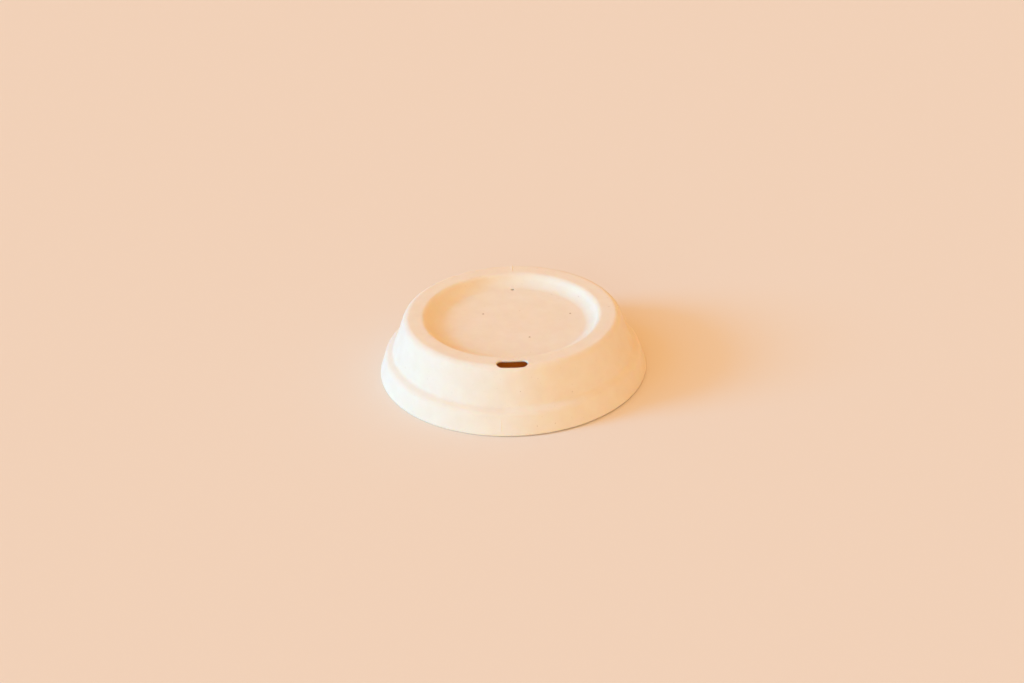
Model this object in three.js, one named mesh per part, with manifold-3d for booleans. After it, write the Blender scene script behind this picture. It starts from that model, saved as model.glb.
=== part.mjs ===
// A takeaway coffee cup lid of moulded plant fibre, pressed in one piece.
// Millimetres, +Z up. The origin is on the axis, in the plane that the foot of the skirt stands on.
// The drinking slot is towards -Y and the vent towards +Y.

import * as THREE from 'three';
import { mergeVertices } from 'three/addons/utils/BufferGeometryUtils.js';
import Module from 'manifold-3d';

const wasm = await Module();
wasm.setup();

// Widths, from the foot of the skirt inwards. Corners are measured where the straight walls would meet.
const FOOT_RADIUS = 47;
const SKIRT_FLARE = 2.4;
const LEDGE_WIDTH = 2.6;
const CONE_LEAN = 4.5;
const DRINKING_RIM_WIDTH = 7.1;
const DISH_SLOPE_WIDTH = 2.6;

// Heights of the outer face.
const SKIRT_HEIGHT = 7.2;
const LEDGE_RISE = 1.1;
const CONE_HEIGHT = 12.9;
const DISH_DEPTH = 3.8;

// The fibre wall and the roundings of its outer face.
const WALL = 0.8;
const LEDGE_ROUNDING = 2.2;
const CONE_FOOT_ROUNDING = 1.8;
const SHOULDER_ROUNDING = 2.6;
const DISH_EDGE_ROUNDING = 2;
const DISH_FLOOR_ROUNDING = 5;

// Under the ledge: a flat seat for the rolled rim of the cup, and a bead that snaps in below that rim.
const SEAT_HEIGHT = 6.4;
const SEAT_INNER_ROUNDING = 0.8;
const SEAT_OUTER_ROUNDING = 0.4;
const CUP_RIM_THICKNESS = 3;
const BEAD_HEIGHT = 2.2;
const BEAD_PROUD = 0.4;
const BEAD_ROUNDING = 1.4;

// The drinking slot, curved with the rim and close to its shoulder.
const SLOT_LENGTH = 10.4;
const SLOT_WIDTH = 3.8;
const SLOT_SETBACK = 0.4;

// The vent, through the floor of the dish.
const VENT_DIAMETER = 1.1;
const VENT_SETBACK = 2.7;

// The seams that the mould left: a low ridge over the shoulder at the back and one down the front of the skirt.
const SEAM_WIDTH = 0.6;
const SEAM_PROUD = 0.15;
const RIM_SEAM_REACH = 3.6;
const RIM_SEAM_ANGLE = 89.7;
const SKIRT_SEAM_ANGLE = -95.3;
const SKIRT_SEAM_MARGIN = 1;

// How finely round stretches are divided, and how far the cutting tools stand out of the wall.
const STEPS_ROUND = 72;
const DEGREES_PER_STEP = 20;
const CUT_CLEARANCE = 1;

const fibre = new THREE.MeshStandardMaterial({ color: 0xf7e8d5, roughness: 0.85, metalness: 0 });

// Places that follow from the sizes above.
const ledgeOuterRadius = FOOT_RADIUS - SKIRT_FLARE;
const ledgeInnerRadius = ledgeOuterRadius - LEDGE_WIDTH;
const shoulderRadius = ledgeInnerRadius - CONE_LEAN;
const dishEdgeRadius = shoulderRadius - DRINKING_RIM_WIDTH;
const dishFloorRadius = dishEdgeRadius - DISH_SLOPE_WIDTH;
const coneFoot = SKIRT_HEIGHT + LEDGE_RISE;
const rimTop = coneFoot + CONE_HEIGHT;
const floorTop = rimTop - DISH_DEPTH;

// How far out the straight of the cone and that of the skirt are at a height.
const coneRadiusAt = (height) => shoulderRadius + ((rimTop - height) * CONE_LEAN) / CONE_HEIGHT;
const skirtRadiusAt = (height) => FOOT_RADIUS - (height * SKIRT_FLARE) / SKIRT_HEIGHT;

// A corner of the section: how far out it is, how high, and how round.
function corner(radius, height, rounding) {
  return { at: new THREE.Vector2(radius, height), rounding };
}

// The arc that rounds the corner between two straight stretches.
function cornerArc(before, here, after) {
  const back = before.at.clone().sub(here.at).normalize();
  const onward = after.at.clone().sub(here.at).normalize();
  const halfAngle = Math.acos(back.dot(onward)) / 2;
  const middle = back.clone().add(onward).normalize();
  const centre = here.at.clone().addScaledVector(middle, here.rounding / Math.sin(halfAngle));
  const start = here.at.clone().addScaledVector(back, here.rounding / Math.tan(halfAngle)).sub(centre);
  const sweep = Math.PI - 2 * halfAngle;
  const steps = Math.ceil(THREE.MathUtils.radToDeg(sweep) / DEGREES_PER_STEP);
  const side = Math.sign(onward.cross(back));
  return Array.from({ length: steps + 1 }, (_, step) => {
    const turned = start.clone().rotateAround(new THREE.Vector2(), (side * sweep * step) / steps);
    return turned.add(centre);
  });
}

// A line through the corners, with each of them rounded that has a rounding.
function roundedLine(corners) {
  return corners.flatMap((here, i) => (
    here.rounding ? cornerArc(corners[i - 1], here, corners[i + 1]) : [here.at]
  ));
}

// The line beside the corners at the thickness of the wall, with corners where its stretches meet.
function besideCorners(corners, roundings) {
  const sides = corners.slice(1).map((next, i) => {
    const along = next.at.clone().sub(corners[i].at).normalize();
    const inward = new THREE.Vector2(along.y, -along.x);
    return { from: corners[i].at.clone().addScaledVector(inward, WALL), along };
  });
  return sides.slice(1).map((side, i) => {
    const previous = sides[i];
    const gap = side.from.clone().sub(previous.from);
    const distance = gap.cross(side.along) / previous.along.cross(side.along);
    const at = previous.from.clone().addScaledVector(previous.along, distance);
    return corner(at.x, at.y, roundings[i]);
  });
}

// The outer face, from the middle of the dish out to the foot of the skirt.
const outerCorners = [
  corner(0, floorTop),
  corner(dishFloorRadius, floorTop, DISH_FLOOR_ROUNDING),
  corner(dishEdgeRadius, rimTop, DISH_EDGE_ROUNDING),
  corner(shoulderRadius, rimTop, SHOULDER_ROUNDING),
  corner(ledgeInnerRadius, coneFoot, CONE_FOOT_ROUNDING),
  corner(ledgeOuterRadius, SKIRT_HEIGHT, LEDGE_ROUNDING),
  corner(FOOT_RADIUS, 0),
];

// The inner face, in the same order: beside the outer one, but flat at the seat and with the bead on its skirt.
function innerCorners() {
  const overSeat = SEAT_HEIGHT + WALL;
  const [start, floorEdge, dishEdge, shoulder] = outerCorners;
  const flatLedge = [
    corner(coneRadiusAt(overSeat), overSeat),
    corner(skirtRadiusAt(overSeat), overSeat),
    corner(FOOT_RADIUS, 0),
  ];
  const corners = besideCorners([start, floorEdge, dishEdge, shoulder, ...flatLedge], [
    DISH_FLOOR_ROUNDING + WALL,
    DISH_EDGE_ROUNDING - WALL,
    SHOULDER_ROUNDING - WALL,
    SEAT_INNER_ROUNDING,
    SEAT_OUTER_ROUNDING,
  ]);
  const seatOuterRadius = corners[corners.length - 1].at.x;
  const wallAcross = skirtRadiusAt(SEAT_HEIGHT) - seatOuterRadius;
  const skirtInside = (height) => skirtRadiusAt(height) - wallAcross;
  const beadTop = SEAT_HEIGHT - CUP_RIM_THICKNESS + BEAD_PROUD;
  const beadMiddle = beadTop - BEAD_HEIGHT / 2;
  const beadFoot = beadTop - BEAD_HEIGHT;
  return [
    corner(0, floorTop - WALL),
    ...corners,
    corner(skirtInside(beadTop), beadTop, BEAD_ROUNDING / 2),
    corner(skirtInside(beadMiddle) - BEAD_PROUD, beadMiddle, BEAD_ROUNDING),
    corner(skirtInside(beadFoot), beadFoot, BEAD_ROUNDING / 2),
    corner(skirtInside(0), 0),
  ];
}

// A closed geometry as a solid that can be cut and joined.
function solidOf(geometry) {
  geometry.deleteAttribute('normal');
  geometry.deleteAttribute('uv');
  const merged = mergeVertices(geometry, 1e-4);
  return new wasm.Manifold(new wasm.Mesh({
    numProp: 3,
    vertProperties: new Float32Array(merged.attributes.position.array),
    triVerts: new Uint32Array(merged.index.array),
  }));
}

// The pressed wall: its section turned about the axis.
function wallSolid() {
  const section = [...roundedLine(outerCorners), ...roundedLine(innerCorners()).reverse()];
  return solidOf(new THREE.LatheGeometry(section.reverse(), STEPS_ROUND).rotateX(Math.PI / 2));
}

// The tool that cuts the drinking slot: an oblong with round ends, bent along the rim at the front.
function slotCutter() {
  const endRadius = SLOT_WIDTH / 2;
  const slotRadius = shoulderRadius - SLOT_SETBACK - endRadius;
  const halfTurn = (SLOT_LENGTH / 2 - endRadius) / slotRadius;
  const [left, right] = [-halfTurn, halfTurn].map((turn) => turn - Math.PI / 2);
  const endAt = (angle) => [slotRadius * Math.cos(angle), slotRadius * Math.sin(angle)];
  const outline = new THREE.Shape();
  outline.absarc(0, 0, slotRadius + endRadius, left, right, false);
  outline.absarc(...endAt(right), endRadius, right, right + Math.PI, false);
  outline.absarc(0, 0, slotRadius - endRadius, right, left, true);
  outline.absarc(...endAt(left), endRadius, left + Math.PI, left + 2 * Math.PI, false);
  const depth = 2 * CUT_CLEARANCE + SHOULDER_ROUNDING + WALL;
  const cutter = new THREE.ExtrudeGeometry(outline, { depth, bevelEnabled: false, curveSegments: 8 });
  cutter.translate(0, 0, rimTop + CUT_CLEARANCE - depth);
  return solidOf(cutter);
}

// The tool that pierces the vent, in the floor of the dish at the back.
function ventCutter() {
  const depth = WALL + 2 * CUT_CLEARANCE;
  const cutter = new THREE.CylinderGeometry(VENT_DIAMETER / 2, VENT_DIAMETER / 2, depth, 16);
  cutter.rotateX(Math.PI / 2);
  cutter.translate(0, dishFloorRadius - VENT_SETBACK, floorTop - WALL / 2);
  return solidOf(cutter);
}

// A seam along part of the outer face, at an angle round the lid: a low ridge rooted in the wall.
function seamRidge(line, angle) {
  const root = WALL / 2;
  const proud = [];
  const sunk = [];
  line.forEach((here, i) => {
    const along = line[Math.min(i + 1, line.length - 1)].clone().sub(line[Math.max(i - 1, 0)]).normalize();
    const outward = new THREE.Vector2(-along.y, along.x);
    proud.push(here.clone().addScaledVector(outward, SEAM_PROUD));
    sunk.push(here.clone().addScaledVector(outward, -root));
  });
  const outline = new THREE.Shape([...proud, ...sunk.reverse()]);
  const ridge = new THREE.ExtrudeGeometry(outline, { depth: SEAM_WIDTH, bevelEnabled: false });
  ridge.translate(0, 0, -SEAM_WIDTH / 2);
  ridge.rotateX(Math.PI / 2);
  ridge.rotateZ(THREE.MathUtils.degToRad(angle));
  return solidOf(ridge);
}

// The seam at the back starts on the flat of the rim and runs over the shoulder.
function rimSeam() {
  const shoulder = cornerArc(outerCorners[2], outerCorners[3], outerCorners[4]);
  const start = new THREE.Vector2(shoulder[0].x - RIM_SEAM_REACH, rimTop);
  return seamRidge([start, ...shoulder], RIM_SEAM_ANGLE);
}

// The seam at the front runs down the flat of the skirt.
function skirtSeam() {
  const top = SKIRT_HEIGHT - SKIRT_SEAM_MARGIN;
  const line = [top, SKIRT_SEAM_MARGIN].map((height) => new THREE.Vector2(skirtRadiusAt(height), height));
  return seamRidge(line, SKIRT_SEAM_ANGLE);
}

function lidGeometry() {
  const solid = wallSolid()
    .add(rimSeam())
    .add(skirtSeam())
    .subtract(slotCutter())
    .subtract(ventCutter());
  const mesh = solid.getMesh();
  const geometry = new THREE.BufferGeometry();
  geometry.setAttribute('position', new THREE.BufferAttribute(mesh.vertProperties, 3));
  geometry.setIndex(new THREE.BufferAttribute(mesh.triVerts, 1));
  geometry.computeVertexNormals();
  return geometry;
}

const lid = new THREE.Mesh(lidGeometry(), fibre);
lid.name = 'lid';

const group = new THREE.Group();
group.add(lid);

export default group;
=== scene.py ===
import math

import bmesh
import bpy
from mathutils import Matrix, Vector, noise
from mathutils.bvhtree import BVHTree


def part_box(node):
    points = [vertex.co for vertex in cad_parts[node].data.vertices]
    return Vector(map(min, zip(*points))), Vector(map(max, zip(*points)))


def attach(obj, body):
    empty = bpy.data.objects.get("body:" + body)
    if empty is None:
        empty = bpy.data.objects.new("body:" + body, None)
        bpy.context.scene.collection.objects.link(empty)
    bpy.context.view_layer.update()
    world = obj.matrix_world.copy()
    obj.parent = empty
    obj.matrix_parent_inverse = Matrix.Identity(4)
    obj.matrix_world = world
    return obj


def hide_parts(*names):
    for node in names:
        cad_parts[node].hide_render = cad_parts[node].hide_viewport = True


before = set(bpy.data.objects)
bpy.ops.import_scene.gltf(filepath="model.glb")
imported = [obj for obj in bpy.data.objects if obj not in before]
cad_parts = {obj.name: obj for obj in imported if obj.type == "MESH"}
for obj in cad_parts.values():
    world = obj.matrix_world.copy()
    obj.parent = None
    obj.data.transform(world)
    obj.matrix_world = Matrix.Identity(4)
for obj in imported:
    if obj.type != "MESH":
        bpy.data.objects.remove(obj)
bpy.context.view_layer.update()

# The wall of the lid is one sheet of pressed plant fibre about 0.8 mm thick, made in a heated mould.
# It runs from the sunken dish over the drinking rim and down the cone to the ledge and the skirt.
# Nothing is fixed to it: the cup's rolled rim seats under the ledge and snaps in above a bead.
MM = 0.001
foot_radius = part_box("lid")[1].x
wall = 0.8 * MM
skirt_flare = 2.4 * MM
ledge_width = 2.6 * MM
cone_lean = 4.5 * MM
drinking_rim_width = 7.1 * MM
dish_slope_width = 2.6 * MM
skirt_height = 7.2 * MM
ledge_rise = 1.1 * MM
cone_height = 12.9 * MM
dish_depth = 3.8 * MM
ledge_outer_radius = foot_radius - skirt_flare
ledge_inner_radius = ledge_outer_radius - ledge_width
shoulder_radius = ledge_inner_radius - cone_lean
dish_edge_radius = shoulder_radius - drinking_rim_width
dish_floor_radius = dish_edge_radius - dish_slope_width
cone_foot = skirt_height + ledge_rise
rim_top = cone_foot + cone_height
floor_top = rim_top - dish_depth
seat_height = 6.4 * MM
bead_below_seat = 2.6 * MM
bead_height = 2.2 * MM
bead_proud = 0.4 * MM
dish_floor_rounding = 5 * MM
dish_edge_rounding = 2 * MM
shoulder_rounding = 2.6 * MM
cone_foot_rounding = 1.3 * MM
ledge_rounding = 2.2 * MM
foot_outer_rounding = 0.5 * MM
foot_inner_rounding = 0.15 * MM
seat_inner_rounding = 0.8 * MM
seat_outer_rounding = 0.4 * MM
bead_crest_rounding = 1.4 * MM
bead_side_rounding = 0.7 * MM
profile_step = 0.65 * MM
rounding_step = 0.6 * profile_step
steps_round = 360


def beside(corners):
    """The corners of the inner face: where lines one wall's thickness inside the outer ones meet."""
    sides = []
    for start, end in zip(corners, corners[1:]):
        along = (end - start).normalized()
        sides.append((start + Vector((along.z, 0, -along.x)) * wall, along))
    meets = []
    for (first, first_along), (second, second_along) in zip(sides, sides[1:]):
        gap = second - first
        across = first_along.x * second_along.z - first_along.z * second_along.x
        distance = (gap.x * second_along.z - gap.z * second_along.x) / across
        meets.append(first + first_along * distance)
    return meets


def wall_section():
    """The closed section of the wall, as corners with the rounding of each."""
    outer = [
        Vector((0, 0, floor_top)),
        Vector((dish_floor_radius, 0, floor_top)),
        Vector((dish_edge_radius, 0, rim_top)),
        Vector((shoulder_radius, 0, rim_top)),
        Vector((ledge_inner_radius, 0, cone_foot)),
        Vector((ledge_outer_radius, 0, skirt_height)),
        Vector((foot_radius, 0, 0)),
    ]
    outer_roundings = [
        0, dish_floor_rounding, dish_edge_rounding, shoulder_rounding,
        cone_foot_rounding, ledge_rounding, foot_outer_rounding,
    ]
    flare = skirt_flare / skirt_height
    lean = cone_lean / cone_height
    over_seat = seat_height + wall
    flat_ledge = [
        Vector((shoulder_radius + (rim_top - over_seat) * lean, 0, over_seat)),
        Vector((foot_radius - over_seat * flare, 0, over_seat)),
    ]
    inner = beside(outer[:4] + flat_ledge + outer[-1:])
    bead_top = seat_height - bead_below_seat
    bead_crest = bead_top - bead_height / 2

    def skirt_inside(height):
        return inner[-1].x + (seat_height - height) * flare

    bead = [
        Vector((skirt_inside(bead_top), 0, bead_top)),
        Vector((skirt_inside(bead_crest) - bead_proud, 0, bead_crest)),
        Vector((skirt_inside(bead_top - bead_height), 0, bead_top - bead_height)),
        Vector((skirt_inside(0), 0, 0)),
    ]
    inside = [Vector((0, 0, floor_top - wall))] + inner + bead
    inside_roundings = [
        0, dish_floor_rounding + wall, dish_edge_rounding - wall, shoulder_rounding - wall,
        seat_inner_rounding, seat_outer_rounding,
        bead_side_rounding, bead_crest_rounding, bead_side_rounding, foot_inner_rounding,
    ]
    return outer + inside[::-1], outer_roundings + inside_roundings[::-1]


def turned_wall():
    """The section with its corners rounded and its stretches divided, turned about the axis."""
    shape = bmesh.new()
    corners, roundings = wall_section()
    points = [shape.verts.new(corner) for corner in corners]
    for start, end in zip(points, points[1:]):
        shape.edges.new((start, end))
    for i in range(1, len(points) - 1):
        if not roundings[i]:
            continue
        back = (corners[i - 1] - corners[i]).normalized()
        onward = (corners[i + 1] - corners[i]).normalized()
        turn = math.pi - back.angle(onward)
        segments = max(3, math.ceil(turn * roundings[i] / rounding_step))
        bmesh.ops.bevel(
            shape, geom=[points[i]], offset=roundings[i] * math.tan(turn / 2), segments=segments,
            profile=0.5, affect="VERTICES", material=-1, clamp_overlap=False,
        )
    for edge in list(shape.edges):
        cuts = int(edge.calc_length() / profile_step)
        if cuts:
            bmesh.ops.subdivide_edges(shape, edges=[edge], cuts=cuts)
    bmesh.ops.spin(
        shape, geom=shape.verts[:] + shape.edges[:], cent=(0, 0, 0), axis=(0, 0, 1),
        angle=2 * math.pi, steps=steps_round, use_merge=True,
    )
    bmesh.ops.remove_doubles(shape, verts=shape.verts[:], dist=0.002 * MM)
    bmesh.ops.recalc_face_normals(shape, faces=shape.faces[:])
    return shape


def round_the_lid(point):
    """How far round the lid a point is, in radians from +X."""
    return math.atan2(point.y, point.x)


def raise_seam(shape, angle, proud, inner_end, outer_end, lowest, highest):
    """A low soft ridge, along the face that shows, where the two halves of the mould met."""
    half_width = 0.45 * MM
    divided_half_width = 1.1 * MM
    fade_at_ends = 0.8 * MM
    spoke = Vector((math.cos(math.radians(angle)), math.sin(math.radians(angle)), 0))
    across = Vector((-spoke.y, spoke.x, 0))

    def in_reach(point, margin):
        radius = math.hypot(point.x, point.y)
        return (
            abs(point.dot(across)) < margin and point.dot(spoke) > 0
            and inner_end < radius < outer_end and lowest < point.z < highest
        )

    shape.normal_update()
    crossing = [
        edge for edge in shape.edges
        if abs((edge.verts[0].co - edge.verts[1].co).normalized().dot(across)) > 0.9
        and in_reach((edge.verts[0].co + edge.verts[1].co) / 2, divided_half_width)
        and edge.verts[0].normal.dot(spoke) + edge.verts[0].normal.z > 0
    ]
    bmesh.ops.subdivide_edges(shape, edges=crossing, cuts=5)
    shape.normal_update()
    for vert in shape.verts:
        if in_reach(vert.co, half_width) and vert.normal.dot(spoke) + vert.normal.z > 0:
            height = math.cos(vert.co.dot(across) / half_width * math.pi / 2) ** 2
            radius = math.hypot(vert.co.x, vert.co.y)
            ends = min(radius - inner_end, outer_end - radius, vert.co.z - lowest, highest - vert.co.z)
            vert.co += vert.normal * (proud * height * min(1, ends / fade_at_ends))


def raise_pimple(shape, spot, radius, proud):
    """A small round swelling where a clot of fibre was pressed into the face."""
    divided_radius = 2.2 * radius
    shape.normal_update()
    around = [
        face for face in shape.faces
        if (face.calc_center_median() - spot).length < divided_radius and face.normal.z > 0
    ]
    edges = dict.fromkeys(edge for face in around for edge in face.edges)
    bmesh.ops.subdivide_edges(shape, edges=list(edges), cuts=3, use_grid_fill=True)
    shape.normal_update()
    for vert in shape.verts:
        away = (vert.co - spot).length / radius
        if away < 1 and vert.normal.z > 0:
            vert.co += vert.normal * (proud * math.cos(away * math.pi / 2) ** 2)


def pierce(shape, intact, angle, hoop_radius, half_length, half_width, clear, lip):
    """A hole through the wall, bent along the rim, with its lip rounded as pressed fibre is."""
    straight = half_length - half_width
    middle = math.radians(angle)
    well_clear = 40 * MM
    edge_waviness = 0.07 * MM
    edge_wave_length = 1.6 * MM
    hoops_to_lip = 7
    hoops_over_lip = 4
    hoops = [(1 - hoop / hoops_to_lip, 0) for hoop in range(1, hoops_to_lip + 1)]
    hoops += [(0, math.radians(90 * hoop / hoops_over_lip)) for hoop in range(1, hoops_over_lip + 1)]

    def plan(point):
        """How far a point is along the hoop through the hole's middle, and how far outside that hoop."""
        turn = (round_the_lid(point) - middle + math.pi) % (2 * math.pi) - math.pi
        return turn * hoop_radius, math.hypot(point.x, point.y) - hoop_radius

    def on_face(along, out, side):
        """The point of the upper face, side 1, or of the lower one, side -1, at a place in the plan."""
        turn = middle + along / hoop_radius
        radius = hoop_radius + out
        from_far = Vector((radius * math.cos(turn), radius * math.sin(turn), floor_top + side * well_clear))
        return intact.ray_cast(from_far, Vector((0, 0, -side)))[0]

    rings = []
    for side in (1, -1):
        # The faces round the hole are taken away.
        shape.normal_update()
        patch = []
        for face in shape.faces:
            along, out = plan(face.calc_center_median())
            if abs(along) < half_length + clear and abs(out) < half_width + clear and face.normal.z * side > 0.2:
                patch.append(face)
        rim = [edge for face in patch for edge in face.edges if not all(near in patch for near in edge.link_faces)]
        bmesh.ops.delete(shape, geom=patch, context="FACES_ONLY")
        loose = [edge for edge in shape.edges if not edge.link_faces]
        bmesh.ops.delete(shape, geom=loose, context="EDGES")
        ring = [edge for edge in rim if edge.is_valid]
        # Hoops of new edges close in on the lip, and then turn down over it.
        targets = {}
        for vert in {vert for edge in ring for vert in edge.verts}:
            along, out = plan(vert.co)
            end_centre = max(-straight, min(straight, along))
            away = Vector((along - end_centre, out))
            targets[vert] = (end_centre, away.normalized(), away.length)
        for share, drop in hoops:
            made = bmesh.ops.extrude_edge_only(shape, edges=ring)["geom"]
            new_edges = [item for item in made if isinstance(item, bmesh.types.BMEdge)]
            new_verts = {vert for edge in new_edges for vert in edge.verts}
            linked = {}
            for vert in new_verts:
                for edge in vert.link_edges:
                    other = edge.other_vert(vert)
                    if other in targets:
                        linked[vert] = targets[other]
            for vert, (end_centre, away, reach) in linked.items():
                edge_place = Vector((end_centre + away.x * half_width, away.y * half_width, hoop_radius))
                edge_at = half_width + edge_waviness * noise.noise(edge_place / edge_wave_length)
                offset = edge_at + lip + share * (reach - edge_at - lip) - lip * math.sin(drop)
                place = on_face(end_centre + away.x * offset, away.y * offset, side)
                vert.co = place - Vector((0, 0, side * lip * (1 - math.cos(drop))))
            targets = linked
            ring = [edge for edge in new_edges if all(vert in linked for vert in edge.verts)]
        rings.append(ring)
    # The upper lip and the lower one are joined through the wall.
    bmesh.ops.bridge_loops(shape, edges=rings[0] + rings[1])


lid_shape = turned_wall()
intact_wall = BVHTree.FromBMesh(lid_shape)
# One seam lies over the shoulder at the back, and a fainter one runs down the skirt at the front.
raise_seam(
    lid_shape, angle=89.7, proud=0.15 * MM, inner_end=31.9 * MM, outer_end=38.0 * MM,
    lowest=rim_top - 2.4 * MM, highest=rim_top + MM,
)
raise_seam(
    lid_shape, angle=-95.3, proud=0.08 * MM, inner_end=44 * MM, outer_end=foot_radius,
    lowest=0.6 * MM, highest=6.2 * MM,
)
slot_half_length = 5.2 * MM
slot_half_width = 1.9 * MM
slot_setback = 0.4 * MM
pierce(
    lid_shape, intact_wall, angle=-90, hoop_radius=shoulder_radius - slot_setback - slot_half_width,
    half_length=slot_half_length, half_width=slot_half_width, clear=1.5 * MM, lip=0.25 * MM,
)
vent_radius = 0.6 * MM
vent_setback = 2.7 * MM
pierce(
    lid_shape, intact_wall, angle=89.3, hoop_radius=dish_floor_radius - vent_setback,
    half_length=vent_radius, half_width=vent_radius, clear=1.0 * MM, lip=0.12 * MM,
)
pimple_turn = math.radians(-47.6)
pimple_place = 43.8 * MM
pimple_spot = intact_wall.ray_cast(
    Vector((pimple_place * math.cos(pimple_turn), pimple_place * math.sin(pimple_turn), rim_top)),
    Vector((0, 0, -1)),
)[0]
raise_pimple(lid_shape, pimple_spot, radius=0.55 * MM, proud=0.16 * MM)
bmesh.ops.recalc_face_normals(lid_shape, faces=lid_shape.faces[:])
lid_shape.normal_update()
# The side that faces down is the inside, where the mould's screen leaves its marks.
inner_face = lid_shape.verts.layers.float.new("inner_face")
for vert in lid_shape.verts:
    vert[inner_face] = 1 if vert.normal.z < 0 else 0
# A real lid is never quite true: it waves a little, its foot lifts at one side and bulges at the front.
# The noise starts from the clock unless it is given a seed, and with one the lid is the same each time.
waviness = 0.09 * MM
wave_length = 17 * MM
steady_foot_height = 5 * MM
soft_skirt_height = 7 * MM
foot_lift = 0.35 * MM
lifted_side = math.radians(-45)
out_of_round = 0.7 * MM
waviness_seed = 1
noise.seed_set(waviness_seed)
for vert in lid_shape.verts:
    drift = noise.noise_vector(vert.co / wave_length) * waviness
    drift.z *= min(1, vert.co.z / steady_foot_height)
    lifted = max(0, math.cos(round_the_lid(vert.co) - lifted_side)) ** 2
    low = max(0, 1 - vert.co.z / soft_skirt_height)
    drift.z += foot_lift * lifted * low
    drift.y -= out_of_round * low * max(0, -vert.co.y / foot_radius) ** 2
    vert.co += drift
mesh = bpy.data.meshes.new("lid_wall")
lid_shape.to_mesh(mesh)
lid_shape.free()
lid = bpy.data.objects.new("lid_wall", mesh)
bpy.context.scene.collection.objects.link(lid)
for polygon in mesh.polygons:
    polygon.use_smooth = True

# The fibre lets a little light through, and is matt, with clouds of denser pulp and a few dark flecks.
fibre = bpy.data.materials.new("pressed_fibre")
fibre.use_nodes = True
nodes = fibre.node_tree.nodes
links = fibre.node_tree.links
shader = nodes["Principled BSDF"]
shader.inputs["Roughness"].default_value = 0.85
shader.inputs["Specular IOR Level"].default_value = 0.2
shader.inputs["Subsurface Weight"].default_value = 0.35
shader.inputs["Subsurface Radius"].default_value = (1.0, 0.55, 0.25)
shader.inputs["Subsurface Scale"].default_value = 0.8 * MM
place = nodes.new("ShaderNodeTexCoord").outputs["Object"]


def number(operation, *given):
    """A Math node on numbers or on the outputs of other nodes, kept between 0 and 1."""
    node = nodes.new("ShaderNodeMath")
    node.operation = operation
    node.use_clamp = True
    for socket, value in zip(node.inputs, given):
        if isinstance(value, (int, float)):
            socket.default_value = value
        else:
            links.new(value, socket)
    return node.outputs[0]


def grain(size, detail, stretch=(1, 1, 1), turn=(0, 0, 0)):
    """Noise with grains of a size, which a stretch and a turn make into fibres that lie one way."""
    mapping = nodes.new("ShaderNodeMapping")
    mapping.inputs["Scale"].default_value = [1 / (size * part) for part in stretch]
    mapping.inputs["Rotation"].default_value = turn
    links.new(place, mapping.inputs["Vector"])
    node = nodes.new("ShaderNodeTexNoise")
    node.inputs["Scale"].default_value = 1
    node.inputs["Detail"].default_value = detail
    links.new(mapping.outputs["Vector"], node.inputs["Vector"])
    return node.outputs["Fac"]


def fleck(spot, radius):
    """One in the middle of a small dark fleck, falling to nothing at its edge."""
    node = nodes.new("ShaderNodeVectorMath")
    node.operation = "DISTANCE"
    links.new(place, node.inputs[0])
    node.inputs[1].default_value = spot
    return number("MULTIPLY", number("SUBTRACT", 1, number("DIVIDE", node.outputs["Value"], radius)), 2)


def blend(share, first, second):
    """Two colours mixed by a share."""
    node = nodes.new("ShaderNodeMix")
    node.data_type = "RGBA"
    for socket, value in zip((node.inputs[0], node.inputs[6], node.inputs[7]), (share, first, second)):
        if isinstance(value, tuple):
            socket.default_value = value
        else:
            links.new(value, socket)
    return node.outputs[2]


pulp_colour = (0.945, 0.83, 0.69, 1)
dense_pulp_colour = (0.915, 0.79, 0.645, 1)
fleck_colour = (0.50, 0.34, 0.20, 1)
cloud_size = 5 * MM
speck_size = 0.5 * MM
fleck_radius = 0.45 * MM
cloud = number("MULTIPLY", number("SUBTRACT", grain(cloud_size, 4), 0.3), 2.5)
flecks = number("MULTIPLY", number("SUBTRACT", grain(speck_size, 0), 0.83), 9)
dish_flecks = ((-10.1 * MM, 7.1 * MM), (20.5 * MM, 5.8 * MM), (6.0 * MM, -10.7 * MM))
for x, y in dish_flecks:
    flecks = number("MAXIMUM", flecks, fleck((x, y, floor_top), fleck_radius))
colour = blend(flecks, blend(cloud, pulp_colour, dense_pulp_colour), fleck_colour)
links.new(colour, shader.inputs["Base Color"])

fibre_width = 0.16 * MM
fibre_stretch = (7, 1, 1)
fibres_one_way = number("PINGPONG", grain(fibre_width, 1, fibre_stretch, turn=(0.3, 0.2, 0.5)), 0.5)
fibres_other_way = number("PINGPONG", grain(fibre_width, 1, fibre_stretch, turn=(0.2, 0.4, 2.2)), 0.5)
fibres = number("MULTIPLY", number("MAXIMUM", fibres_one_way, fibres_other_way), 1.2)
# The screen's wires cross. A Wave texture of this scale has one wave to the metre.
screen_spacing = 0.9 * MM
one_wave_scale = 0.314
wires = []
for axis in ("X", "Y"):
    wave = nodes.new("ShaderNodeTexWave")
    wave.bands_direction = axis
    wave.inputs["Scale"].default_value = one_wave_scale / screen_spacing
    links.new(place, wave.inputs["Vector"])
    wires.append(wave.outputs["Fac"])
on_inside = nodes.new("ShaderNodeAttribute")
on_inside.attribute_name = "inner_face"
screen = number("MULTIPLY", number("MULTIPLY", wires[0], wires[1]), on_inside.outputs["Fac"])
relief = number("ADD", number("MULTIPLY", fibres, 0.35), number("MULTIPLY", screen, 0.6))
surface = nodes.new("ShaderNodeBump")
surface.inputs["Strength"].default_value = 0.5
surface.inputs["Distance"].default_value = 0.06 * MM
links.new(relief, surface.inputs["Height"])
links.new(surface.outputs["Normal"], shader.inputs["Normal"])
mesh.materials.append(fibre)
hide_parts("lid")
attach(lid, "root")

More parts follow.
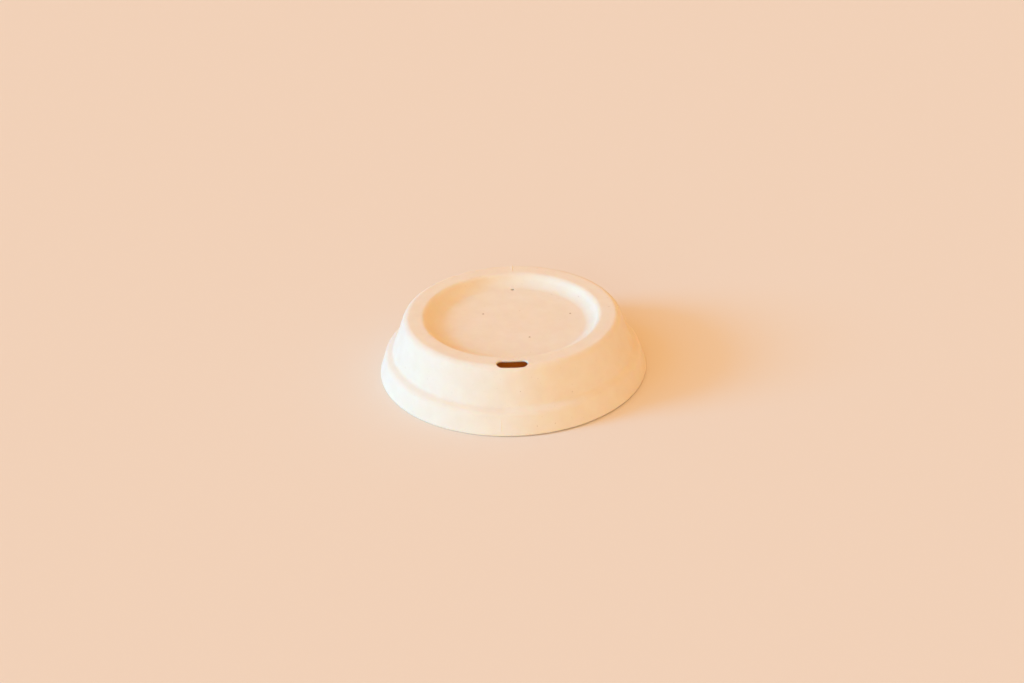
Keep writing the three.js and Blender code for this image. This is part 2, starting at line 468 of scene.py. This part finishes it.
# The plain pale floor is only there for the lid to stand on, and is no part of it.
# It is matt painted card, large enough to fill the view.
floor_half_width = 3.0
floor_shape = bmesh.new()
bmesh.ops.create_grid(floor_shape, x_segments=1, y_segments=1, size=floor_half_width)
floor_mesh = bpy.data.meshes.new("floor")
floor_shape.to_mesh(floor_mesh)
floor_shape.free()
floor = bpy.data.objects.new("floor", floor_mesh)
bpy.context.scene.collection.objects.link(floor)
card = bpy.data.materials.new("floor_card")
card.use_nodes = True
card_shader = card.node_tree.nodes["Principled BSDF"]
card_shader.inputs["Base Color"].default_value = (0.91, 0.82, 0.72, 1)
card_shader.inputs["Roughness"].default_value = 0.9
card_shader.inputs["Specular IOR Level"].default_value = 0.1
floor_mesh.materials.append(card)

# The light: a broad soft lamp low at the left, a weak one from the front, and a warm pale room all round.
# The lamps are far off, so that they light the lid evenly, and wide, so that its shadow has a soft edge.
def soft_lamp(name, strengths, azimuth, elevation, width):
    """A distant lamp whose strengths are what a white surface that faces it gives back, red, green, blue."""
    lamp = bpy.data.lights.new(name, "SUN")
    brightest = max(strengths)
    lamp.color = [strength / brightest for strength in strengths]
    lamp.energy = math.pi * brightest
    lamp.angle = math.radians(width)
    lamp_object = bpy.data.objects.new(name, lamp)
    towards = Matrix.Rotation(math.radians(azimuth), 4, "Z") @ Matrix.Rotation(-math.radians(elevation), 4, "Y")
    lamp_object.matrix_world = (towards @ Vector((1, 0, 0))).to_track_quat("Z", "Y").to_matrix().to_4x4()
    bpy.context.scene.collection.objects.link(lamp_object)


soft_lamp("key", strengths=(0.02, 0.35, 0.69), azimuth=189.6, elevation=20, width=19)
soft_lamp("upper", strengths=(0.00, 0.10, 0.20), azimuth=189.6, elevation=36, width=36)
soft_lamp("fill", strengths=(0.12, 0.24, 0.28), azimuth=250, elevation=10, width=60)

# A weak warm lamp under the lid, for the light that comes through the thin fibre and shows in the slot.
glow = bpy.data.lights.new("glow", "POINT")
glow.color = (1.0, 0.22, 0.005)
glow.energy = 0.00062
glow.shadow_soft_size = 4 * MM
glow_height = 9 * MM
glow_object = bpy.data.objects.new("glow", glow)
glow_object.location = (0, 0, glow_height)
bpy.context.scene.collection.objects.link(glow_object)

# The room gives more light from its walls than from its ceiling.
wall_light = (0.94, 0.61, 0.34, 1)
ceiling_light = (0.94, 0.52, 0.205, 1)
room = bpy.data.worlds.new("room")
bpy.context.scene.world = room
room.use_nodes = True
room_nodes = room.node_tree.nodes
room_links = room.node_tree.links
direction = room_nodes.new("ShaderNodeTexCoord")
height = room_nodes.new("ShaderNodeSeparateXYZ")
room_links.new(direction.outputs["Generated"], height.inputs[0])
walls_to_ceiling = room_nodes.new("ShaderNodeMix")
walls_to_ceiling.data_type = "RGBA"
walls_to_ceiling.inputs[6].default_value = wall_light
walls_to_ceiling.inputs[7].default_value = ceiling_light
room_links.new(height.outputs["Z"], walls_to_ceiling.inputs[0])
room_links.new(walls_to_ceiling.outputs[2], room_nodes["Background"].inputs["Color"])

# The camera looks down on the lid from the front, with the slot nearest, as in the photograph.
picture_width = 1024
picture_height = 683
focal_pixels = 1900
camera_distance = 671.5 * MM
camera_pitch = math.radians(29.05)
camera_roll = math.radians(1.85)
camera_turn = math.radians(0.6)
foot_centre_x = 513.35
foot_centre_y = 366.0
forward = Vector((0, math.cos(camera_pitch), -math.sin(camera_pitch)))
level_right = Vector((1, 0, 0))
level_up = level_right.cross(forward)
right = level_right * math.cos(camera_roll) - level_up * math.sin(camera_roll)
up = level_right * math.sin(camera_roll) + level_up * math.cos(camera_roll)
sight = (
    forward
    + right * ((foot_centre_x - picture_width / 2) / focal_pixels)
    - up * ((foot_centre_y - picture_height / 2) / focal_pixels)
).normalized()
camera_data = bpy.data.cameras.new("camera")
camera_data.sensor_width = 36
camera_data.lens = 36 * focal_pixels / picture_width
camera_data.clip_start = 0.01
camera_data.clip_end = 20
camera = bpy.data.objects.new("camera", camera_data)
bpy.context.scene.collection.objects.link(camera)
facing = Matrix((right, up, -forward)).transposed().to_4x4()
camera.matrix_world = (
    Matrix.Rotation(camera_turn, 4, "Z") @ Matrix.Translation(-sight * camera_distance) @ facing
)
bpy.context.scene.camera = camera
bpy.context.scene.view_settings.view_transform = "Standard"
